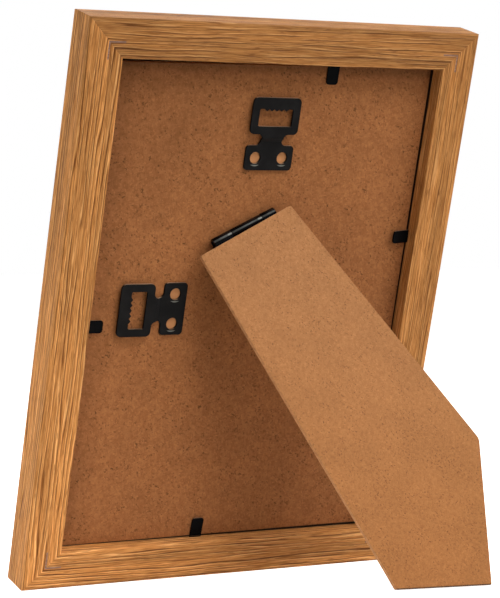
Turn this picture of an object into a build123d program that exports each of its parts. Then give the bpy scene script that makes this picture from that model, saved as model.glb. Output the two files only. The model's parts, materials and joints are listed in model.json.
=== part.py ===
from build123d import *
import os
from math import cos, radians, sin, sqrt

os.makedirs("parts", exist_ok=True)

# An easel back photo frame, in millimetres.
# Every piece is first modelled with the frame lying face down on a bench: X runs to the right as seen from
# behind, Y up along the frame, Z out of the back. The bench origin is the middle of the frame's back plane.
# At the end the whole frame is stood up on its leg, with +Z up and the picture facing -Y.

# Picture and the room round it in the rabbet
photo_width = 130.0
photo_height = 180.0
rabbet_clearance = 0.75

# Moulding
moulding_back_width = 14.0
moulding_depth = 13.5
lip_width = 5.0
lip_thickness = 3.0
moulding_edge_radius = 0.8
rabbet_edge_radius = 0.3
mitre_gap = 0.06

# Sheets stacked in the rabbet
glazing_thickness = 2.0
insert_thickness = 0.5
insert_trim = 2.0
panel_thickness = 2.5

# Gaps from the panel, cut a little out of square, to the rabbet walls
panel_gap_left = 0.6
panel_gap_right_high = 1.25
panel_gap_right_low = 0.15
panel_gap_top_left = 2.3
panel_gap_top_right = 0.7
panel_gap_bottom_left = 0.3
panel_gap_bottom_right = 1.0

# V-nails across the mitres, driven in from the back
nail_inset = 8.3
nail_arm = 6.2
nail_thickness = 0.6
nail_height = 7.0
nail_sink = 0.1
nail_fit = 0.03

# Flexible tabs that hold the panel in
tab_width = 4.8
tab_thickness = 0.5
tab_reach = 7.75
tab_tip_radius = 1.2
tab_bury = 7.0
tab_barb_depth = 0.5
tab_barb_rows = 3
tab_stub = 0.35
tab_bend_gap = 0.05
tab_lift = 0.05
tab_slot_fit = 0.05
tab_top_offset = 22.1
tab_right_offset = 25.9
tab_bottom_offset = -8.3
tab_left_offset = -6.9
tab_bottom_turn = 5.0
tab_right_turn = 14.0
tab_top_turn = 0.0
tab_left_turn = 0.0

# Pressed hangers
hanger_thickness = 0.8
hanger_jog = 1.1
hanger_base_width = 19.6
hanger_base_length = 9.2
hanger_base_corner = 1.5
hanger_neck_width = 8.7
hanger_neck_length = 4.3
hanger_neck_corner = 1.8
hanger_jog_run = 1.5
hanger_loop_width = 19.7
hanger_loop_length = 13.5
hanger_loop_corner = 1.9
hanger_near_bar = 2.95
hanger_far_bar = 4.2
hanger_side_bar = 2.9
hanger_window_corner = 0.6
hanger_tooth_count = 5
hanger_tooth_pitch = 2.0
hanger_tooth_height = 0.8
hanger_hole_spacing = 11.1
hanger_hole_diameter = 4.4
hanger_inset = 39.8
hanger_left_drop = 0.75

# Burrs: collars punched out of a plate and pressed into the hardboard under it
burr_wall = 0.5
burr_depth = 1.6
burr_fit = 0.05

# Strut hinge of the leg
hinge_offset_x = -6.9
hinge_offset_y = 29.8
hinge_turn = 26.9
hinge_length = 26.3
hinge_middle_length = 12.7
hinge_middle_offset = 1.0
hinge_knuckle_gap = 0.25
hinge_leaf_thickness = 0.8
hinge_leaf_length = 11.0
hinge_leaf_corner = 1.5
hinge_leaf_relief = 0.35
hinge_pin_diameter = 2.0
hinge_pin_clearance = 0.05
hinge_pin_recess = 0.2
hinge_panel_gap = 0.15
hinge_hole_diameter = 2.8
hinge_hole_spacing = 15.0
hinge_hole_drop = 7.0

# Leg
lean = 15.8
leg_opening = 27.2
leg_thickness = 2.5
leg_top_left = 20.8
leg_top_left_drop = 1.7
leg_top_right = 18.3
leg_top_right_drop = 0.6
leg_foot_length = 37.0
leg_side_foot_length = 53.4
leg_side_foot_setback = 6.15
leg_corner_radius = 0.6
leg_knee_radius = 4.0

# Cuts run this far past the faces that they open
overrun = 1.0

# Sizes that follow from those above
opening_width = photo_width + 2 * rabbet_clearance
opening_height = photo_height + 2 * rabbet_clearance
outer_width = opening_width + 2 * moulding_back_width
outer_height = opening_height + 2 * moulding_back_width
face_width = moulding_back_width + lip_width

front_level = -moulding_depth
rabbet_level = front_level + lip_thickness
glazing_level = rabbet_level + glazing_thickness
insert_level = glazing_level + insert_thickness
panel_level = insert_level + panel_thickness

tab_level = panel_level + tab_lift + tab_thickness / 2
tab_bend = tab_stub + tab_bend_gap + tab_thickness / 2

hinge_bore_radius = hinge_pin_diameter / 2 + hinge_pin_clearance
barrel_radius = hinge_bore_radius + hinge_leaf_thickness
hinge_level = panel_level + hinge_panel_gap + barrel_radius

# Each rail is modelled as the bottom one and turned round to its side, a quarter turn for each step in this order
side_lengths = {"bottom": outer_width, "right": outer_height, "top": outer_width, "left": outer_height}
side_distances = {
    "bottom": outer_height / 2,
    "right": outer_width / 2,
    "top": outer_height / 2,
    "left": outer_width / 2,
}

# Where each tab sits along its turned rail, and how far its tongue is left bent up
tab_places = {
    "bottom": tab_bottom_offset,
    "right": tab_right_offset,
    "top": -tab_top_offset,
    "left": -tab_left_offset,
}
tab_turns = {"bottom": tab_bottom_turn, "right": tab_right_turn, "top": tab_top_turn, "left": tab_left_turn}


def side_place(side):
    order = list(side_lengths)
    return Rot(0, 0, 360 * order.index(side) / len(order)) * Pos(0, -side_distances[side], 0)


def sheet(plan, low, high):
    """A flat sheet of this outline between two levels."""
    return Pos(0, 0, low) * extrude(plan, high - low)


def span_box(x_span, y_span, z_span):
    """A box between two limits on each axis."""
    size = [high - low for low, high in (x_span, y_span, z_span)]
    return Pos(x_span[0], y_span[0], z_span[0]) * Box(*size, align=Align.MIN)


def rod(radius, x_low, x_high):
    """A cylinder along X."""
    bar = Cylinder(radius, x_high - x_low, align=(Align.CENTER, Align.CENTER, Align.MIN))
    return Pos(x_low, 0, 0) * Rot(0, 90, 0) * bar


# Rails

def rail_section():
    """Moulding section, with Y inward from the outer edge and Z out of the back."""
    corners = [
        ((0, 0), moulding_edge_radius),
        ((0, front_level), moulding_edge_radius),
        ((face_width, front_level), moulding_edge_radius),
        ((face_width, rabbet_level), 0),
        ((moulding_back_width, rabbet_level), 0),
        ((moulding_back_width, 0), rabbet_edge_radius),
    ]
    points, radii = zip(*corners)
    return Plane.YZ * make_face(FilletPolyline(points, radius=radii, close=True))


def rail_blank(length):
    """A length of moulding cut to its mitres."""
    ease = mitre_gap / sqrt(2)
    half = length / 2 - ease
    bar = Pos(-length / 2, 0, 0) * extrude(rail_section(), length)
    inner = half - face_width
    plan = make_face(Polyline((-half, 0), (half, 0), (inner, face_width), (-inner, face_width), close=True))
    return bar & Pos(0, 0, front_level) * extrude(plan, moulding_depth)


def corner_nail(length, fit):
    """V-nail at a rail's right-hand mitre, its two arms parallel to the rails that it joins."""
    corner = length / 2 - nail_inset
    half = nail_thickness / 2 + fit
    arm = nail_arm + fit
    levels = (-nail_sink - nail_height - fit, -nail_sink)
    along_rail = span_box((corner - arm, corner + half), (nail_inset - half, nail_inset + half), levels)
    across_rail = span_box((corner - half, corner + half), (nail_inset - half, nail_inset + arm), levels)
    return along_rail + across_rail


def nail_slot(length):
    """The cut that a V-nail makes, open at the back face."""
    sunk = corner_nail(length, nail_fit)
    return sunk + Pos(0, 0, nail_sink) * sunk


# Tabs, modelled at the bottom rail: Y is the distance in from the frame's outer edge

def tab_barb():
    """The part of a tab that is driven into the rabbet wall, with barbed edges."""
    root = moulding_back_width - tab_bury
    tip = moulding_back_width + tab_stub
    half = tab_width / 2
    row = tab_bury / (tab_barb_rows + 1)
    edge = [(half - tab_barb_depth, root)]
    for index in range(tab_barb_rows):
        edge.append((half, root + (index + 1) * row))
        edge.append((half - tab_barb_depth, root + (index + 1) * row))
    edge += [(half, moulding_back_width), (half, tip)]
    mirrored = [(-x, y) for x, y in reversed(edge)]
    plate = make_face(Polyline(*edge, *mirrored, close=True))
    return Pos(0, 0, tab_level - tab_thickness / 2) * extrude(plate, tab_thickness)


def tab_tongue(turn):
    """The part of a tab that lies over the panel, bent up at its root by an angle."""
    length = tab_reach - tab_bend
    half = tab_width / 2
    outline = FilletPolyline((-half, 0), (half, 0), (half, length), (-half, length),
                             radius=[0, 0, tab_tip_radius, tab_tip_radius], close=True)
    plate = extrude(make_face(outline), tab_thickness / 2, both=True)
    tongue = plate + rod(tab_thickness / 2, -half, half)
    return Pos(0, moulding_back_width + tab_bend, tab_level) * Rot(turn, 0, 0) * tongue


def tab_slot():
    """Room for a tab's barb in the rabbet wall."""
    half = tab_width / 2 + tab_slot_fit
    depth = (moulding_back_width - tab_bury - tab_slot_fit, moulding_back_width + overrun)
    height = tab_thickness / 2 + tab_slot_fit
    return span_box((-half, half), depth, (tab_level - height, tab_level + height))


def tab_place(side):
    return side_place(side) * Pos(tab_places[side], 0, 0)


# Burrs

def ring(inner, outer, low, high):
    """A tube along Z between two levels."""
    align = (Align.CENTER, Align.CENTER, Align.MIN)
    wall = Cylinder(outer, high - low, align=align) - Cylinder(inner, high - low, align=align)
    return Pos(0, 0, low) * wall


def burr(diameter, level, direction):
    """A collar below (-1) or above (+1) a level, round a hole of this diameter."""
    low, high = sorted((level, level + direction * burr_depth))
    return ring(diameter / 2, diameter / 2 + burr_wall, low, high)


def burr_groove(diameter, level, direction):
    """The ring that a burr presses into the board, with its fit all round."""
    low, high = sorted((level, level + direction * (burr_depth + burr_fit)))
    return ring(diameter / 2 - burr_fit, diameter / 2 + burr_wall + burr_fit, low, high)


# Hangers, modelled with the base's end at the origin and the loop towards +Y, on a board at level zero

hanger_loop_start = hanger_base_length + hanger_neck_length
hanger_length = hanger_loop_start + hanger_loop_length
hanger_holes = [Pos(side * hanger_hole_spacing / 2, hanger_base_length / 2, 0) for side in (-1, 1)]


def hanger_plan():
    """Outline of the hanger: base, neck and loop, with the corners at the neck rounded out."""
    base_middle = hanger_base_length / 2
    loop_middle = hanger_loop_start + hanger_loop_length / 2
    base = Pos(0, base_middle) * RectangleRounded(hanger_base_width, hanger_base_length, hanger_base_corner)
    loop = Pos(0, loop_middle) * RectangleRounded(hanger_loop_width, hanger_loop_length, hanger_loop_corner)
    neck = Rectangle(hanger_neck_width, loop_middle - base_middle, align=(Align.CENTER, Align.MIN))
    plan = base + Pos(0, base_middle) * neck + loop
    waist = [v for v in plan.vertices() if abs(v.X) < (hanger_neck_width + hanger_base_width) / 4]
    return fillet(waist, hanger_neck_corner)


def hanger_window():
    """Window of the loop, with saw teeth on its far edge."""
    width = hanger_loop_width - 2 * hanger_side_bar
    low = hanger_loop_start + hanger_near_bar
    high = hanger_length - hanger_far_bar
    outline = FilletPolyline((-width / 2, low), (width / 2, low), (width / 2, high), (-width / 2, high),
                             radius=hanger_window_corner, close=True)
    window = make_face(outline)
    first = -(hanger_tooth_count - 1) / 2 * hanger_tooth_pitch
    for index in range(hanger_tooth_count):
        centre = first + index * hanger_tooth_pitch
        root = hanger_tooth_pitch / 2
        tip = (centre, high - hanger_tooth_height)
        window -= make_face(Polyline((centre - root, high), (centre + root, high), tip, close=True))
    return window


def hanger():
    """Pressed hanger: a flat base with burrs, a jogged neck and a raised loop."""
    jog_start = hanger_base_length + (hanger_neck_length - hanger_jog_run) / 2
    under = [(0, 0), (jog_start, 0), (jog_start + hanger_jog_run, hanger_jog), (hanger_length, hanger_jog)]
    over = [(y, z + hanger_thickness) for y, z in reversed(under)]
    profile = Plane.YZ * make_face(Polyline(*under, *over, close=True))
    width = max(hanger_base_width, hanger_loop_width)
    strip = extrude(profile, width / 2, both=True)
    plan = hanger_plan() - hanger_window()
    for place in hanger_holes:
        plan -= place * Circle(hanger_hole_diameter / 2)
    plate = strip & extrude(plan, hanger_jog + hanger_thickness)
    for place in hanger_holes:
        plate += place * burr(hanger_hole_diameter, 0, -1)
    return plate


hanger_places = {
    "top": Pos(0, opening_height / 2 - hanger_inset, panel_level),
    "left": Pos(hanger_inset - opening_width / 2, -hanger_left_drop, panel_level) * Rot(0, 0, 90),
}

# Hinge, modelled with its axis along X through the origin and the leg's side below it at -Y

hinge_place = Pos(hinge_offset_x, hinge_offset_y, hinge_level) * Rot(0, 0, hinge_turn)
leg_place = hinge_place * Rot(-leg_opening, 0, 0)
leaf_holes = [Pos(side * hinge_hole_spacing / 2, -hinge_hole_drop, 0) for side in (-1, 1)]
panel_leaf_low = -barrel_radius - hinge_panel_gap
middle_span = (hinge_middle_offset - hinge_middle_length / 2, hinge_middle_offset + hinge_middle_length / 2)
outer_spans = [
    (-hinge_length / 2, middle_span[0] - hinge_knuckle_gap),
    (middle_span[1] + hinge_knuckle_gap, hinge_length / 2),
]


def hinge_leaf(knuckles, foreign, low):
    """A leaf with its own knuckles, cut away round the other leaf's, its underside at the given level."""
    half = hinge_length / 2
    outline = FilletPolyline((-half, 0), (half, 0), (half, -hinge_leaf_length), (-half, -hinge_leaf_length),
                             radius=[0, 0, hinge_leaf_corner, hinge_leaf_corner], close=True)
    leaf = Pos(0, 0, low) * extrude(make_face(outline), hinge_leaf_thickness)
    for start, end in foreign:
        room = (start - hinge_knuckle_gap, end + hinge_knuckle_gap)
        drop = (-barrel_radius - hinge_leaf_relief, overrun)
        leaf -= span_box(room, drop, (low - overrun, low + hinge_leaf_thickness + overrun))
    for start, end in knuckles:
        leaf += rod(barrel_radius, start, end)
    leaf -= rod(hinge_bore_radius, -half - overrun, half + overrun)
    for place in leaf_holes:
        hole = Cylinder(hinge_hole_diameter / 2, 2 * overrun + hinge_leaf_thickness)
        leaf -= place * Pos(0, 0, low + hinge_leaf_thickness / 2) * hole
    return leaf


def panel_leaf():
    leaf = hinge_leaf([middle_span], outer_spans, panel_leaf_low)
    for place in leaf_holes:
        leaf += place * burr(hinge_hole_diameter, panel_leaf_low, -1)
    return leaf


def leg_leaf():
    leaf = hinge_leaf(outer_spans, [middle_span], barrel_radius - hinge_leaf_thickness)
    for place in leaf_holes:
        leaf += place * burr(hinge_hole_diameter, barrel_radius, 1)
    return leaf


def hinge_pin():
    half = hinge_length / 2 - hinge_pin_recess
    return rod(hinge_pin_diameter / 2, -half, half)


# Leg, modelled flat in the hinge's coordinates: its inner face one barrel radius off the axis

leg_plane = Plane(leg_place)


def trace(point, normal):
    """Where a plane crosses the leg's inner face, as the line a x + b y = c in the leg's coordinates."""
    near = leg_plane.to_local_coords(Vector(*point))
    across = leg_plane.to_local_coords(Vector(*point) + Vector(*normal)) - near
    return across.X, across.Y, across.dot(near) - across.Z * barrel_radius


def crossing(first, second):
    a, b, c = first
    d, e, f = second
    scale = a * e - b * d
    return Vector((c * e - b * f) / scale, (a * f - c * d) / scale)


def along(line, towards):
    """Direction of a line, on the side of the given direction."""
    a, b, c = line
    direction = Vector(-b, a).normalized()
    return direction if direction.dot(Vector(*towards)) > 0 else -direction


def leg_outline():
    """Leg from its top edge down to a foot on the floor and a side foot for landscape."""
    up = (0, cos(radians(lean)), -sin(radians(lean)))
    rise = moulding_edge_radius * (up[1] - up[2] - 1)
    floor = trace((0, rise * up[1] - outer_height / 2, rise * up[2]), up)
    side = trace((outer_width / 2 - leg_side_foot_setback, 0, 0), (1, 0, 0))
    heel = crossing(floor, side)
    toe = heel + along(floor, (-1, 0)) * leg_foot_length
    knee = heel + along(side, (0, 1)) * leg_side_foot_length
    top_left = Vector(-leg_top_left, -leg_top_left_drop)
    top_right = Vector(leg_top_right, -leg_top_right_drop)
    corners = [top_left, top_right, knee, heel, toe]
    radii = [leg_corner_radius, leg_corner_radius, leg_knee_radius, leg_corner_radius, leg_corner_radius]
    return FilletPolyline(corners, radius=radii, close=True)


def easel_leg():
    board = Pos(0, 0, barrel_radius) * extrude(make_face(leg_outline()), leg_thickness)
    for place in leaf_holes:
        board -= place * burr_groove(hinge_hole_diameter, barrel_radius, 1)
    return board


# Sheets in the rabbet

def glazing():
    """Glazing, stood on the bottom rail's rabbet wall."""
    plan = Pos(0, -opening_height / 2) * Rectangle(photo_width, photo_height, align=(Align.CENTER, Align.MIN))
    return sheet(plan, rabbet_level, glazing_level)


def photo_insert():
    """Blank card, trimmed so that no edge of it shows round the panel."""
    plan = Rectangle(photo_width - 2 * insert_trim, photo_height - 2 * insert_trim)
    return sheet(plan, glazing_level, insert_level)


def panel_outline():
    """Outline of the panel, by its gaps to the rabbet walls."""
    left = panel_gap_left - opening_width / 2
    right = opening_width / 2
    low = -opening_height / 2
    high = opening_height / 2
    return Polyline(
        (left, low + panel_gap_bottom_left),
        (right - panel_gap_right_low, low + panel_gap_bottom_right),
        (right - panel_gap_right_high, high - panel_gap_top_right),
        (left, high - panel_gap_top_left),
        close=True,
    )


def back_panel():
    board = sheet(make_face(panel_outline()), insert_level, panel_level)
    for place in hanger_places.values():
        for hole in hanger_holes:
            board -= place * hole * burr_groove(hanger_hole_diameter, 0, -1)
    for hole in leaf_holes:
        board -= hinge_place * hole * burr_groove(hinge_hole_diameter, panel_leaf_low, -1)
    return board


# Assembly on the bench

nail_slots = [side_place(side) * nail_slot(length) for side, length in side_lengths.items()]
nails = [side_place(side) * corner_nail(length, 0) for side, length in side_lengths.items()]

bench = {}
for side, length in side_lengths.items():
    rail = side_place(side) * rail_blank(length) - tab_place(side) * tab_slot()
    for slot in nail_slots:
        rail -= slot
    bench["rail_" + side] = rail
    bench["tab_" + side + "_barb"] = tab_place(side) * tab_barb()
    bench["tab_" + side + "_tongue"] = tab_place(side) * tab_tongue(tab_turns[side])

bench["corner_v_nails"] = Compound(nails)
bench["glazing"] = glazing()
bench["photo_insert"] = photo_insert()
bench["back_panel"] = back_panel()
for side, place in hanger_places.items():
    bench["hanger_" + side] = place * hanger()
bench["hinge_panel_leaf"] = hinge_place * panel_leaf()
bench["hinge_pin"] = hinge_place * hinge_pin()
bench["hinge_leg_leaf"] = leg_place * leg_leaf()
bench["easel_leg"] = leg_place * easel_leg()

# Stood up: leaning back on the leg, the origin under the middle of the whole frame

tilt = radians(lean)
standing = Plane((0, 0, 0), x_dir=(-1, 0, 0), z_dir=(0, cos(tilt), -sin(tilt))).location
stood = {name: standing * piece for name, piece in bench.items()}
reach = Compound(list(stood.values())).bounding_box()
origin = Vector(reach.center().X, reach.center().Y, reach.min.Z)

for name, piece in stood.items():
    export_step(Pos(-origin) * piece, "parts/" + name + ".step")
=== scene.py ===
import json
from math import radians

import bpy
from mathutils import Matrix, Vector


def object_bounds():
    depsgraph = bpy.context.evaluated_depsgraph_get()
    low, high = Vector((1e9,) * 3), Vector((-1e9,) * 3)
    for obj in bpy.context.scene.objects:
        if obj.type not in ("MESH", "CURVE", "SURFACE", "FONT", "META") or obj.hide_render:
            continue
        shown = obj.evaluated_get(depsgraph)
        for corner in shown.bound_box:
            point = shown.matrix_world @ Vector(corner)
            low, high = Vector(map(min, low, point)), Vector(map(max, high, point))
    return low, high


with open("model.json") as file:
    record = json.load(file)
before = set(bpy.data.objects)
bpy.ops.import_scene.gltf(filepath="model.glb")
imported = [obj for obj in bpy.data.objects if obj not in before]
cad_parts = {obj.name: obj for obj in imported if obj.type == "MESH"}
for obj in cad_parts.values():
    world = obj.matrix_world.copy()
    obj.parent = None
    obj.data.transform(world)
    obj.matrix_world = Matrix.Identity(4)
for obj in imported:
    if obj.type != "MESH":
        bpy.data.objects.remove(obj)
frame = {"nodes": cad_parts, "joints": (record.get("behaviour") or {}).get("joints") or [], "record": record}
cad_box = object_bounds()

# Looks of an easel back photo frame, in metres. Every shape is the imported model's own. This script gives
# each node its finish and its eased edges, and sets up the floor, the light and the camera.

MM = 0.001
nodes = frame["nodes"]
record = frame["record"]

# Directions of the leaning frame as seen from behind: to the right, up along it and out of its back
mounts = {mount["name"]: mount for mount in record["mounts"]}
out = Vector(mounts["wall_face"]["axis"])
right = Vector((-1, 0, 0))
rise = out.cross(right)
up = Vector((0, 0, 1))
middle = sum(cad_box, Vector()) / 2


# Node materials

class Paint:
    """One node material. Each call adds a node and gives back its output socket."""

    def __init__(self, name):
        self.material = bpy.data.materials.new(name)
        self.material.use_nodes = True
        self.tree = self.material.node_tree
        self.shader = self.tree.nodes["Principled BSDF"]

    def feed(self, socket, value):
        if isinstance(value, bpy.types.NodeSocket):
            self.tree.links.new(value, socket)
        else:
            socket.default_value = value

    def add(self, kind, inputs, output=0, **settings):
        node = self.tree.nodes.new("ShaderNode" + kind)
        for name, value in settings.items():
            setattr(node, name, value)
        for socket, value in inputs.items():
            self.feed(node.inputs[socket], value)
        return node.outputs[output]

    def place(self):
        """Position on the piece, in metres."""
        return self.add("TexCoord", {}, "Object")

    def facing(self):
        """Direction of the surface on the piece."""
        return self.add("TexCoord", {}, "Normal")

    def along(self, vector, axis):
        """How far a vector goes along an axis."""
        return self.add("VectorMath", {0: vector, 1: axis}, "Value", operation="DOT_PRODUCT")

    def measured(self, axes, starts=(0, 0, 0)):
        """Position along two or three axes, each counted from its own start."""
        place = self.place()
        pairs = zip(axes, starts)
        spans = [self.maths("SUBTRACT", self.along(place, axis), start) for axis, start in pairs]
        return self.add("CombineXYZ", dict(zip("XYZ", spans)))

    def shifted(self, vector, amount, direction):
        """A vector moved along a direction by a varying amount."""
        move = self.add("VectorMath", {0: direction, "Scale": amount}, operation="SCALE")
        return self.add("VectorMath", {0: vector, 1: move}, operation="ADD")

    def grained(self, vector, sizes, detail=2.0, roughness=0.5):
        """Noise from about 0.3 to 0.7 whose features have these sizes along the three axes."""
        scaled = self.add("VectorMath", {0: vector, 1: [1 / size for size in sizes]}, operation="MULTIPLY")
        inputs = {"Vector": scaled, "Scale": 1.0, "Detail": detail, "Roughness": roughness}
        return self.add("TexNoise", inputs)

    def step(self, value, low, high, start=0.0, end=1.0):
        """A smooth step from start to end as the value goes from low to high."""
        inputs = {"Value": value, 1: low, 2: high, 3: start, 4: end}
        return self.add("MapRange", inputs, interpolation_type="SMOOTHSTEP")

    def maths(self, operation, first, second=0.0):
        return self.add("Math", {0: first, 1: second}, operation=operation)

    def stripes(self, phase, width):
        """1 on the lines where a phase is whole, fading to 0 at a width on either side."""
        return self.step(self.maths("PINGPONG", phase, 0.5), 0.0, width, 1.0, 0.0)

    def blend(self, share, first, second):
        """Colour from first to second by a share."""
        return self.add("Mix", {0: share, 6: first, 7: second}, 2, data_type="RGBA")

    def ramp(self, value, *stops):
        """Colour by a value, from stops of (position, colour)."""
        result = self.add("ValToRGB", {"Fac": value})
        elements = result.node.color_ramp.elements
        while len(elements) < len(stops):
            elements.new(1.0)
        for element, (position, shade) in zip(elements, stops):
            element.position = position
            element.color = shade
        return result

    def toned(self, shade, tone):
        """A colour made lighter or darker by a factor."""
        return self.add("VectorMath", {0: shade, "Scale": tone}, operation="SCALE")

    def near(self, spots, reach, soft):
        """1 within a reach of any of the spots, fading to 0 over a soft rim."""
        total = 0.0
        for spot in spots:
            gap = self.add("VectorMath", {0: self.place(), 1: spot}, "Value", operation="DISTANCE")
            total = self.maths("MAXIMUM", self.step(gap, reach - soft, reach, 1.0, 0.0), total)
        return total

    def bump(self, height, depth):
        """Relief of a depth in metres for a height from 0 to 1."""
        relief = self.add("Bump", {"Height": height, "Distance": depth, "Strength": 1.0})
        self.feed(self.shader.inputs["Normal"], relief)

    def finish(self, **values):
        for name, value in values.items():
            self.feed(self.shader.inputs[name.replace("_", " ")], value)
        return self.material


def colour(red, green, blue):
    return (red, green, blue, 1.0)


def shaded(shade, tone):
    """A plain colour made lighter or darker by a factor."""
    return colour(*(tone * part for part in shade[:3]))


def dress(names, material):
    for name in names:
        slots = nodes[name].data.materials
        slots.clear()
        slots.append(material)


# Oak: long dark grooves and fine fibres along each rail, which turn the corner at the mitres

# Pale colour of the grooves' lips: a painted highlight along one side of each groove
oak_lip_highlight = colour(0.830, 0.430, 0.160)
oak_light = colour(0.640, 0.290, 0.090)
oak_mid = colour(0.515, 0.219, 0.062)
oak_dark = colour(0.375, 0.146, 0.036)
oak_groove = colour(0.170, 0.052, 0.009)
oak_relief = 0.20 * MM
oak_mirror = 0.10
oak_sway = 0.6 * MM

# Grooves: their spacing, and in spacings their drift, their half width and how far off their pale lips lie
groove_spacing = 1.7 * MM
groove_drift = 2.8
groove_width = 0.15
lip_offset = 0.27

# How strongly each part of the grain shows, and the tones of its broad bands
groove_share = 0.85
lip_highlight_share = 0.70
pore_share = 0.55
band_low, band_high = 0.84, 1.16

# How far each part of the grain goes along the rail and across it
sway_sizes = (24 * MM, 4 * MM, 1)
drift_sizes = (70 * MM, 4 * MM, 1)
fade_sizes = (24 * MM, 1.5 * MM, 1)
fibre_sizes = (12 * MM, 0.42 * MM, 1)
pore_sizes = (5 * MM, 0.32 * MM, 1)
band_sizes = (90 * MM, 4 * MM, 1)

# Painted shade inside the rabbet, dark below the panel's back and up to a margin past the glazing's edge
rabbet_painted_shade = colour(0.020, 0.010, 0.006)
rabbet_margin = 1.0 * MM
rabbet_soft = 0.1 * MM

# The rails in order from the lower right corner, each with its direction and the way it faces outward
rail_ways = {
    "right": (rise, right),
    "top": (-right, rise),
    "left": (-rise, -right),
    "bottom": (right, -rise),
}

# How light each rail is, partly its own tone and partly painted light and shade, and how deep its grooves
# are
rail_looks = {"right": (0.905, 0.80), "top": (0.74, 1.1), "left": (1.10, 1.25), "bottom": (1.0, 1.7)}


def extent(name, direction):
    """How far a piece goes along a direction."""
    return max(corner.co.dot(direction) for corner in nodes[name].data.vertices)


def reach(direction):
    """How far the rails go along a direction."""
    return max(extent("rail_" + side, direction) for side in rail_ways)


panel_level = extent("back_panel", out)
lip_level = -extent("glazing", -out)


def in_rabbet(paint, outward):
    """1 where shade is painted on a rail: inside the rabbet, between the lip and the panel's back."""
    level = paint.along(paint.place(), out)
    under = paint.step(level, panel_level - rabbet_soft, panel_level, 1.0, 0.0)
    over = paint.step(level, lip_level - 2 * rabbet_soft, lip_level - rabbet_soft)
    edge = extent("glazing", outward) + rabbet_margin
    within = paint.step(paint.along(paint.place(), outward), edge - rabbet_soft, edge, 1.0, 0.0)
    return paint.maths("MULTIPLY", paint.maths("MULTIPLY", under, over), within)


def oak(name, way, outward, turns, travelled, tone, depth):
    """Oak of one rail, its grain counted on from the rails before it and round its edges."""
    paint = Paint(name)
    slant = 2 * turns + 1
    starts = (slant * reach(outward) - reach(-way) - travelled, -reach(outward))
    grain = paint.measured((way + slant * outward, out - outward), starts)
    sway = paint.maths("SUBTRACT", paint.grained(grain, sway_sizes), 0.5)
    grain = paint.shifted(grain, sway, (0, oak_sway, 0))
    across = paint.along(grain, (0, 1 / groove_spacing, 0))
    drift = paint.maths("MULTIPLY", paint.grained(grain, drift_sizes), groove_drift)
    phase = paint.maths("ADD", across, drift)
    fade = paint.step(paint.grained(grain, fade_sizes), 0.38, 0.54, 0.0, depth)
    groove = paint.maths("MULTIPLY", paint.stripes(phase, groove_width), fade)
    lip = paint.maths("MULTIPLY", paint.stripes(paint.maths("ADD", phase, lip_offset), groove_width), fade)
    fibre = paint.grained(grain, fibre_sizes, 2.5, 0.6)
    pore = paint.step(paint.grained(grain, pore_sizes, 1.5), 0.33, 0.44, 1.0, 0.0)
    shade = paint.ramp(fibre, (0.38, oak_dark), (0.50, oak_mid), (0.62, oak_light))
    # Painted highlight on the lips beside the grooves
    shade = paint.blend(paint.maths("MULTIPLY", lip, lip_highlight_share), shade, oak_lip_highlight)
    shade = paint.blend(paint.maths("MULTIPLY", pore, pore_share), shade, oak_groove)
    shade = paint.blend(paint.maths("MULTIPLY", groove, groove_share), shade, oak_groove)
    band = paint.grained(grain, band_sizes)
    shade = paint.toned(shade, paint.step(band, 0.32, 0.68, band_low * tone, band_high * tone))
    # Painted shade inside the rabbet
    shade = paint.blend(in_rabbet(paint, outward), shade, rabbet_painted_shade)
    raised = paint.maths("ADD", paint.maths("MULTIPLY", fibre, 0.5), paint.maths("MULTIPLY", lip, 0.4))
    sunk = paint.maths("ADD", groove, paint.maths("MULTIPLY", pore, 0.25))
    paint.bump(paint.maths("SUBTRACT", raised, sunk), oak_relief)
    rough = paint.step(fibre, 0.35, 0.65, 0.62, 0.48)
    return paint.finish(Base_Color=shade, Roughness=rough, Specular_IOR_Level=oak_mirror)


# Hardboard: pressed brown fibre with dark chips and pale flecks, paler where it is cut

cloud_sizes = (14 * MM,) * 3
mottle_sizes = (2.0 * MM,) * 3
cluster_sizes = (8 * MM,) * 3
chip_sizes = (1.15 * MM, 0.90 * MM, 1.15 * MM)
fleck_sizes = (0.9 * MM, 0.75 * MM, 0.9 * MM)
hair_sizes = (3.0 * MM, 0.36 * MM, 0.36 * MM)
hair_angles = (0.6, 2.1)
board_relief = 0.05 * MM
board_mirror = 0.07

# How far away the flecks' noise is taken, so that it isn't the chips' noise again
fleck_shift = (0.1, 0.2, 0.3)

# Tones of the specks against the board's own shades, and how strongly the flecks and hairs show
chip_tone = 0.40
fleck_tone, fleck_share = 1.40, 0.40
pale_hair_tone, pale_hair_share = 1.25, 0.25
dark_hair_tone, dark_hair_share = 0.60, 0.50
cut_tone = 0.72
cloud_low, cloud_high = 0.96, 1.04

# The leg's tint at its foot and at its top, and the painted contact shadow on the lowest part of its foot
foot_tint = colour(0.90, 0.83, 0.71)
top_tint = colour(1.00, 1.00, 1.00)
foot_painted_shadow = colour(0.045, 0.020, 0.009)
foot_shadow_height = 1.1 * MM


def broad_face(name):
    """Direction of a piece's largest face."""
    return max(nodes[name].data.polygons, key=lambda face: face.area).normal.copy()


# The hangers' burrs are the only part of them below the panel's back face; each holds a plug of the panel
plug_reach = 2.2 * MM
plug_rim = 0.3 * MM

# Painted shade on the panel: along the left rail, under the top rail and round the corner between them
left_shade_reach = 14 * MM
left_shade_tone = 0.74
top_shadow_start = 1.0 * MM
top_shadow_end = 5.5 * MM
top_shadow_tone = 0.55
corner_reach = 85 * MM
corner_soft = 65 * MM
corner_tone = 0.87


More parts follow.
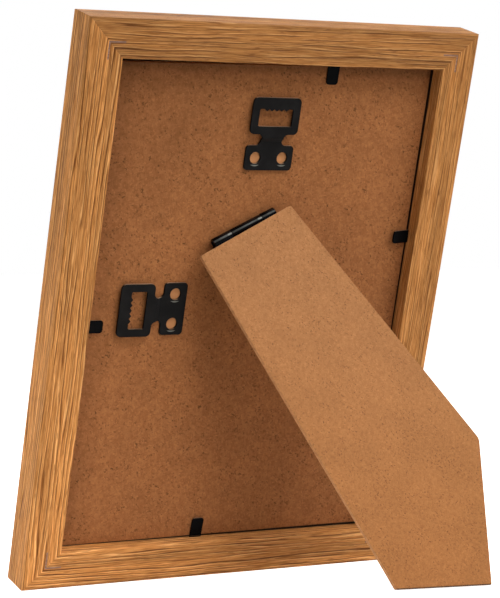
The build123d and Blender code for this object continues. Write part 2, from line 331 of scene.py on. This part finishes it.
def burr_centres(name, apart):
    """Middles of a hanger's two burrs, which lie apart along a direction, on the panel's face."""
    sunk_level = panel_level - plug_rim
    sunk = [corner.co for corner in nodes[name].data.vertices if corner.co.dot(out) < sunk_level]
    divide = sum(spot.dot(apart) for spot in sunk) / len(sunk)
    centres = []
    for sign in (-1, 1):
        ring = [spot for spot in sunk if sign * (spot.dot(apart) - divide) > 0]
        centre = sum(ring, Vector()) / len(ring)
        centres.append(centre + out * (panel_level - centre.dot(out)))
    return centres


def rail_shaded_panel(paint, shade, plug):
    """The panel's shade: painted shade along two rails and in their corner, and plugs in the hangers' holes.
    """
    left_edge = -extent("back_panel", -right)
    top_edge = extent("back_panel", rise)
    inward = paint.maths("SUBTRACT", paint.along(paint.place(), right), left_edge)
    # Painted shade along the left rail
    shade = paint.toned(shade, paint.step(inward, 0.0, left_shade_reach, left_shade_tone, 1.0))
    below = paint.maths("SUBTRACT", top_edge, paint.along(paint.place(), rise))
    # Painted shadow under the top rail
    shade = paint.toned(shade, paint.step(below, top_shadow_start, top_shadow_end, top_shadow_tone, 1.0))
    corner = right * left_edge + rise * top_edge + out * panel_level
    gloom = paint.near([corner], corner_reach, corner_soft)
    # Painted shade round the top left corner
    shade = paint.toned(shade, paint.step(gloom, 0.0, 1.0, 1.0, corner_tone))
    spots = burr_centres("hanger_top", right) + burr_centres("hanger_left", rise)
    return paint.blend(paint.near(spots, plug_reach, plug_rim), shade, plug)


def graded_to_foot(paint, shade):
    """The leg's shade, paler and duller towards its top, with painted contact shadow at its foot."""
    height = paint.along(paint.place(), up)
    # Darker and warmer towards the foot, paler towards the top
    tint = paint.ramp(paint.step(height, 0.0, extent("easel_leg", up)), (0.0, foot_tint), (1.0, top_tint))
    shade = paint.add("VectorMath", {0: shade, 1: tint}, operation="MULTIPLY")
    # Painted contact shadow along the lowest part of the foot
    return paint.blend(paint.step(height, foot_shadow_height / 2, foot_shadow_height, 1.0, 0.0), shade, foot_painted_shadow)


def hardboard(name, piece, light, dark, cut, chips, grit):
    """Board of a piece: shades from dark to light with dark chips, and another shade where it is cut.

    chips is how strongly the chips show, and grit is the size of all specks against the sizes above.
    """
    paint = Paint(name)

    def sized(sizes):
        return [grit * size for size in sizes]

    face = broad_face(piece)
    grip = face.orthogonal().normalized()
    side = face.cross(grip)
    flat = paint.measured((grip, side, face))
    mottle = paint.grained(flat, sized(mottle_sizes), 3.0, 0.65)
    shade = paint.blend(paint.step(mottle, 0.30, 0.70), dark, light)
    cluster = paint.step(paint.grained(flat, sized(cluster_sizes), 2.0), 0.38, 0.60, 0.30, 1.0)
    chip = paint.step(paint.grained(flat, sized(chip_sizes), 3.0, 0.6), 0.56, 0.66)
    chip = paint.maths("MULTIPLY", chip, cluster)
    shade = paint.blend(paint.maths("MULTIPLY", chip, chips), shade, shaded(dark, chip_tone))
    elsewhere = paint.shifted(flat, 1.0, fleck_shift)
    fleck = paint.step(paint.grained(elsewhere, sized(fleck_sizes), 2.0), 0.57, 0.68)
    shade = paint.blend(paint.maths("MULTIPLY", fleck, fleck_share), shade, shaded(light, fleck_tone))
    for angle in hair_angles:
        turn = Matrix.Rotation(angle, 3, face)
        hair = paint.grained(paint.measured((turn @ grip, turn @ side, face)), sized(hair_sizes))
        pale = paint.step(hair, 0.61, 0.72, 0.0, pale_hair_share)
        shade = paint.blend(pale, shade, shaded(light, pale_hair_tone))
        deep = paint.step(hair, 0.29, 0.38, dark_hair_share * chips, 0.0)
        shade = paint.blend(deep, shade, shaded(dark, dark_hair_tone))
    cloud = paint.step(paint.grained(flat, cloud_sizes, 3.0), 0.32, 0.68)
    shade = paint.toned(shade, paint.step(cloud, 0.0, 1.0, cloud_low, cloud_high))
    if piece == "back_panel":
        shade = rail_shaded_panel(paint, shade, cut)
    else:
        shade = graded_to_foot(paint, shade)
    edge = paint.step(paint.maths("ABSOLUTE", paint.along(paint.facing(), face)), 0.55, 0.90, 1.0, 0.0)
    raw = paint.blend(paint.step(mottle, 0.35, 0.65), shaded(cut, cut_tone), cut)
    shade = paint.blend(edge, shade, raw)
    paint.bump(paint.maths("SUBTRACT", mottle, paint.maths("MULTIPLY", chip, 0.5)), board_relief)
    rough = paint.step(mottle, 0.3, 0.7, 0.74, 0.60)
    return paint.finish(Base_Color=shade, Roughness=rough, Specular_IOR_Level=board_mirror)


# Black metal, steel, glass and card

# The black coating: sizes of its orange peel and its paler patches, their tone, how its roughness varies,
# the depths of its relief and the painted highlight on its ledges
peel_sizes = (0.6 * MM,) * 3
rub_sizes = (6 * MM,) * 3
patch_tone = 1.8
gloss_fall, gloss_rise = 0.06, 0.08
coat_relief = 0.010 * MM
hinge_relief = 0.004 * MM
ledge_highlight = colour(0.36, 0.22, 0.13)

# Painted highlights in a bare steel grey: crescents between a drop below the middle of a hanger's hole
# and a reach round it, and how strongly the highlight shows there
highlight_grey = colour(0.30, 0.30, 0.27)
rim_reach = 3.30 * MM
rim_drop = 2.70 * MM
rim_soft = 0.20 * MM
rim_share = 0.5

# The crest of the hinge's barrel faces out, and crest_side times as much up. A highlight is painted along it
# in a thin line, brightest in a spot a little back from each gap between the knuckles.
barrel_radius = 1.85 * MM
crest_side = 0.9
crest_reach = 0.55 * MM
crest_soft = 0.45 * MM
crest_share = 0.16
gap_back = 0.8 * MM
gap_reach = 1.2 * MM
gap_soft = 0.7 * MM
gap_share = 0.60
pivot = next(joint for joint in frame["joints"] if joint["name"] == "leg_fold")


def rim_highlights(paint):
    """How strongly a highlight is painted: on the lower rims of the hangers' holes."""
    total = 0.0
    for centre in burr_centres("hanger_top", right) + burr_centres("hanger_left", rise):
        drop = paint.maths("SUBTRACT", centre.dot(rise), paint.along(paint.place(), rise))
        under = paint.step(drop, rim_drop - rim_soft, rim_drop, 0.0, rim_share)
        rim = paint.maths("MULTIPLY", paint.near([centre], rim_reach, rim_soft), under)
        total = paint.maths("MAXIMUM", rim, total)
    return total


def barrel_highlights(paint):
    """How strongly a highlight is painted: along the crest of the hinge's barrel, most beside its gaps."""
    start = Vector(pivot["pos_m"])
    axis = Vector(pivot["axis"])
    ends = set()
    for name in ("hinge_panel_leaf", "hinge_leg_leaf"):
        for corner in nodes[name].data.vertices:
            along = (corner.co - start).dot(axis)
            if (corner.co - start - along * axis).length < barrel_radius:
                ends.add(round(along, 5))
    upper = axis.cross(out)
    crest = (out + crest_side * (upper if upper.dot(rise) > 0 else -upper)).normalized()
    ridge = start + barrel_radius * crest
    spots = [ridge + (along - gap_back) * axis for along in sorted(ends)[1:-1:2]]
    share = paint.step(paint.near(spots, gap_reach, gap_soft), 0.0, 1.0, crest_share, gap_share)
    aside = axis.cross(crest)
    section = paint.measured((crest, aside), (ridge.dot(crest), ridge.dot(aside)))
    off = paint.add("VectorMath", {0: section}, "Value", operation="LENGTH")
    line = paint.step(off, crest_reach - crest_soft, crest_reach, 1.0, 0.0)
    return paint.maths("MULTIPLY", line, share)


def black_metal(name, shade, gloss, mirror, relief, ledge_share, highlights=None):
    """Black coated steel: uneven gloss, slight orange peel, paler patches, painted highlight on upper edges.
    """
    paint = Paint(name)
    peel = paint.grained(paint.place(), peel_sizes)
    rub = paint.grained(paint.place(), rub_sizes, 3.0, 0.6)
    tint = paint.blend(paint.step(rub, 0.35, 0.70), shade, shaded(shade, patch_tone))
    # Painted highlight on the edges that face up
    ledge = paint.maths("MULTIPLY", paint.step(paint.along(paint.facing(), rise), 0.75, 0.95), ledge_share)
    ledge = paint.maths("MULTIPLY", ledge, paint.step(rub, 0.30, 0.55, 0.5, 1.0))
    tint = paint.blend(ledge, tint, ledge_highlight)
    if highlights:
        # Painted highlights, where given
        tint = paint.blend(highlights(paint), tint, highlight_grey)
    paint.bump(peel, relief)
    rough = paint.step(rub, 0.30, 0.70, gloss - gloss_fall, gloss + gloss_rise)
    return paint.finish(Base_Color=tint, Roughness=rough, Specular_IOR_Level=mirror)


nail_light = colour(0.36, 0.215, 0.165)
nail_dark = colour(0.20, 0.108, 0.078)
nail_sizes = (2.5 * MM, 0.25 * MM, 0.25 * MM)
nail_relief = 0.03 * MM
nail_mirror = 0.15


def nail_steel():
    """Dull steel of the V-nails, streaked where it was rolled."""
    paint = Paint("nail_steel")
    rolled = paint.grained(paint.measured((right, rise, out)), nail_sizes)
    tint = paint.blend(paint.step(rolled, 0.35, 0.65), nail_dark, nail_light)
    paint.bump(rolled, nail_relief)
    rough = paint.step(rolled, 0.35, 0.65, 0.60, 0.45)
    return paint.finish(Base_Color=tint, Roughness=rough, Specular_IOR_Level=nail_mirror)


glass_clear = colour(0.99, 1.0, 0.995)
glass_dull = colour(0.96, 0.98, 0.97)
haze_sizes = (22 * MM,) * 3


def clear_glass():
    """Clear glass with a faint haze."""
    paint = Paint("clear_glass")
    haze = paint.grained(paint.place(), haze_sizes, 4.0, 0.65)
    tint = paint.blend(paint.step(haze, 0.3, 0.7), glass_dull, glass_clear)
    rough = paint.step(haze, 0.35, 0.70, 0.01, 0.05)
    return paint.finish(Base_Color=tint, Roughness=rough, Transmission_Weight=1.0, IOR=1.5)


card_light = colour(0.80, 0.78, 0.73)
card_dark = colour(0.70, 0.68, 0.63)
card_stain = colour(0.68, 0.65, 0.58)
card_fibre_sizes = (0.5 * MM,) * 3
card_stain_sizes = (18 * MM,) * 3
card_stain_share = 0.15
card_relief = 0.03 * MM


def blank_card():
    """Blank card with fine fibres and faint stains."""
    paint = Paint("blank_card")
    fibre = paint.grained(paint.place(), card_fibre_sizes, 4.0, 0.7)
    stain = paint.grained(paint.place(), card_stain_sizes)
    tint = paint.blend(paint.step(fibre, 0.3, 0.7), card_dark, card_light)
    tint = paint.blend(paint.step(stain, 0.3, 0.7, 0.0, card_stain_share), tint, card_stain)
    paint.bump(fibre, card_relief)
    return paint.finish(Base_Color=tint, Roughness=paint.step(fibre, 0.3, 0.7, 0.85, 0.75))


# Finishes of the nodes

travelled = 0.0
for turns, (side, (way, outward)) in enumerate(rail_ways.items()):
    dress(["rail_" + side], oak("oak_" + side, way, outward, turns, travelled, *rail_looks[side]))
    travelled += reach(way) + reach(-way)

hanger_nodes = ["hanger_top", "hanger_left"]
hinge_nodes = ["hinge_panel_leaf", "hinge_leg_leaf", "hinge_pin"]
tab_nodes = [name for name in nodes if name.startswith("tab_")]

panel_light = colour(0.338, 0.134, 0.048)
panel_dark = colour(0.264, 0.100, 0.034)
leg_light = colour(0.407, 0.187, 0.0765)
leg_dark = colour(0.340, 0.151, 0.0590)
cut_edge = colour(0.540, 0.270, 0.118)
plug_shade = colour(0.520, 0.235, 0.098)
panel_board = (panel_light, panel_dark, plug_shade)
leg_board = (leg_light, leg_dark, cut_edge)
dress(["back_panel"], hardboard("hardboard_panel", "back_panel", *panel_board, chips=0.85, grit=0.95))
dress(["easel_leg"], hardboard("hardboard_leg", "easel_leg", *leg_board, chips=0.70, grit=0.72))

hanger_shade = colour(0.0050, 0.0047, 0.0048)
hinge_shade = colour(0.0012, 0.0012, 0.0015)
tab_shade = colour(0.0018, 0.0018, 0.0020)
hanger_coat = {"gloss": 0.42, "mirror": 0.04, "relief": coat_relief, "ledge_share": 0.75}
hinge_coat = {"gloss": 0.12, "mirror": 0.07, "relief": hinge_relief, "ledge_share": 0.03}
tab_coat = {"gloss": 0.50, "mirror": 0.02, "relief": coat_relief, "ledge_share": 0.5}
dress(hanger_nodes, black_metal("black_hanger", hanger_shade, **hanger_coat, highlights=rim_highlights))
dress(hinge_nodes, black_metal("black_hinge", hinge_shade, **hinge_coat, highlights=barrel_highlights))
dress(tab_nodes, black_metal("black_tab", tab_shade, **tab_coat))
dress(["corner_v_nails"], nail_steel())
dress(["glazing"], clear_glass())
dress(["photo_insert"], blank_card())


# Eased edges, which catch the light

weld_reach = 0.002 * MM
ease_angle = radians(35)
metal_ease = 0.08 * MM
board_ease = 0.15 * MM


def ease(name, width):
    piece = nodes[name]
    weld = piece.modifiers.new("weld", "WELD")
    weld.merge_threshold = weld_reach
    bevel = piece.modifiers.new("ease", "BEVEL")
    bevel.width = width
    bevel.segments = 2
    bevel.limit_method = "ANGLE"
    bevel.angle_limit = ease_angle
    bevel.harden_normals = True


for name in hanger_nodes + hinge_nodes + tab_nodes:
    ease(name, metal_ease)
for name in ("back_panel", "easel_leg"):
    ease(name, board_ease)


# Floor, light and camera

floor_size = 8.0
floor_drop = 0.1 * MM
floor_tint = colour(0.82, 0.79, 0.72)
floor_fleck_sizes = (0.4,) * 3
floor_fleck_tone = 1.02
white = colour(1, 1, 1)
sky_level = 0.06
sky_warmth = colour(1.0, 0.90, 0.68)


def seen_directly(tree):
    """1 for the camera's rays and for rays by reflection or through glass, otherwise 0."""
    path = tree.nodes.new("ShaderNodeLightPath")
    total = path.outputs["Is Camera Ray"]
    for kind in ("Is Glossy Ray", "Is Transmission Ray"):
        both = tree.nodes.new("ShaderNodeMath")
        both.operation = "MAXIMUM"
        tree.links.new(total, both.inputs[0])
        tree.links.new(path.outputs[kind], both.inputs[1])
        total = both.outputs[0]
    return total


def white_world():
    """An even sky, which shows as plain white and sheds a little warm light."""
    world = bpy.data.worlds.new("studio")
    bpy.context.scene.world = world
    world.use_nodes = True
    tree = world.node_tree
    tint = tree.nodes.new("ShaderNodeMix")
    tint.data_type = "RGBA"
    tint.inputs[6].default_value = shaded(sky_warmth, sky_level)
    tint.inputs[7].default_value = white
    tree.links.new(seen_directly(tree), tint.inputs[0])
    tree.links.new(tint.outputs[2], tree.nodes["Background"].inputs["Color"])


def white_floor():
    """Pale floor that shows as white under the sky alone, and keeps the shadow."""
    half = floor_size / 2
    corners = [(x * half, y * half, -floor_drop) for x, y in ((-1, -1), (1, -1), (1, 1), (-1, 1))]
    mesh = bpy.data.meshes.new("floor")
    mesh.from_pydata(corners, [], [range(len(corners))])
    floor = bpy.data.objects.new("floor", mesh)
    bpy.context.scene.collection.objects.link(floor)
    paint = Paint("pale_floor")
    glow = paint.maths("MULTIPLY", seen_directly(paint.tree), 1 - min(floor_tint) * sky_level)
    fleck = paint.step(paint.grained(paint.place(), floor_fleck_sizes, 3.0), 0.3, 0.7)
    tint = paint.blend(fleck, floor_tint, shaded(floor_tint, floor_fleck_tone))
    finish = paint.finish(Base_Color=tint, Roughness=0.9, Emission_Color=white, Emission_Strength=glow)
    mesh.materials.append(finish)


def softbox(name, azimuth, elevation, distance, width, height, spread, watts):
    """Soft lamp aimed low at the object, with its beam's spread in degrees."""
    turn = Matrix.Rotation(radians(azimuth), 3, "Z") @ Matrix.Rotation(-radians(elevation), 3, "X")
    towards = turn @ Vector((0, -1, 0))
    lamp = bpy.data.lights.new(name, "AREA")
    lamp.shape = "RECTANGLE"
    lamp.size = width
    lamp.size_y = height
    lamp.spread = radians(spread)
    lamp.energy = watts
    holder = bpy.data.objects.new(name, lamp)
    holder.location = lamp_aim + towards * distance
    holder.rotation_mode = "QUATERNION"
    holder.rotation_quaternion = (-towards).to_track_quat("-Z", "Y")
    holder.visible_camera = False
    bpy.context.scene.collection.objects.link(holder)


# Lamps, each with its azimuth and elevation in degrees, its distance, width and height in metres, its
# spread in degrees and its power in watts
lamp_aim_height = 0.03
lamp_aim = Vector((middle.x, middle.y, lamp_aim_height))
lamps = {
    "back_high": (180, 50, 1.20, 0.60, 0.60, 180, 4.90),
    "back_spot": (180, 50, 0.90, 0.35, 0.35, 34, 0.136),
    "right_spot": (230, 45, 0.90, 0.35, 0.35, 34, 0.264),
    "right_low": (212, 6, 0.90, 0.40, 0.20, 40, 0.104),
    "left_spot": (85, 30, 0.90, 0.35, 0.35, 34, 0.122),
    "left_low": (88, 2, 0.45, 0.24, 0.08, 60, 0.050),
    "front": (5, 42, 1.20, 0.80, 0.25, 180, 8.0),
}
white_world()
white_floor()
for name, place in lamps.items():
    softbox(name, *place)

camera_place = Vector((0.43278, 0.74123, 0.13519))
camera_aim = Vector((0.00480, 0.00290, 0.10460))
camera_lens = 142.5
camera_sensor = 36.0
camera = bpy.data.cameras.new("camera")
camera.lens = camera_lens
camera.sensor_width = camera_sensor
holder = bpy.data.objects.new("camera", camera)
holder.location = camera_place
holder.rotation_mode = "QUATERNION"
holder.rotation_quaternion = (camera_aim - camera_place).to_track_quat("-Z", "Y")
bpy.context.scene.collection.objects.link(holder)
bpy.context.scene.camera = holder
bpy.context.scene.view_settings.view_transform = "Standard"
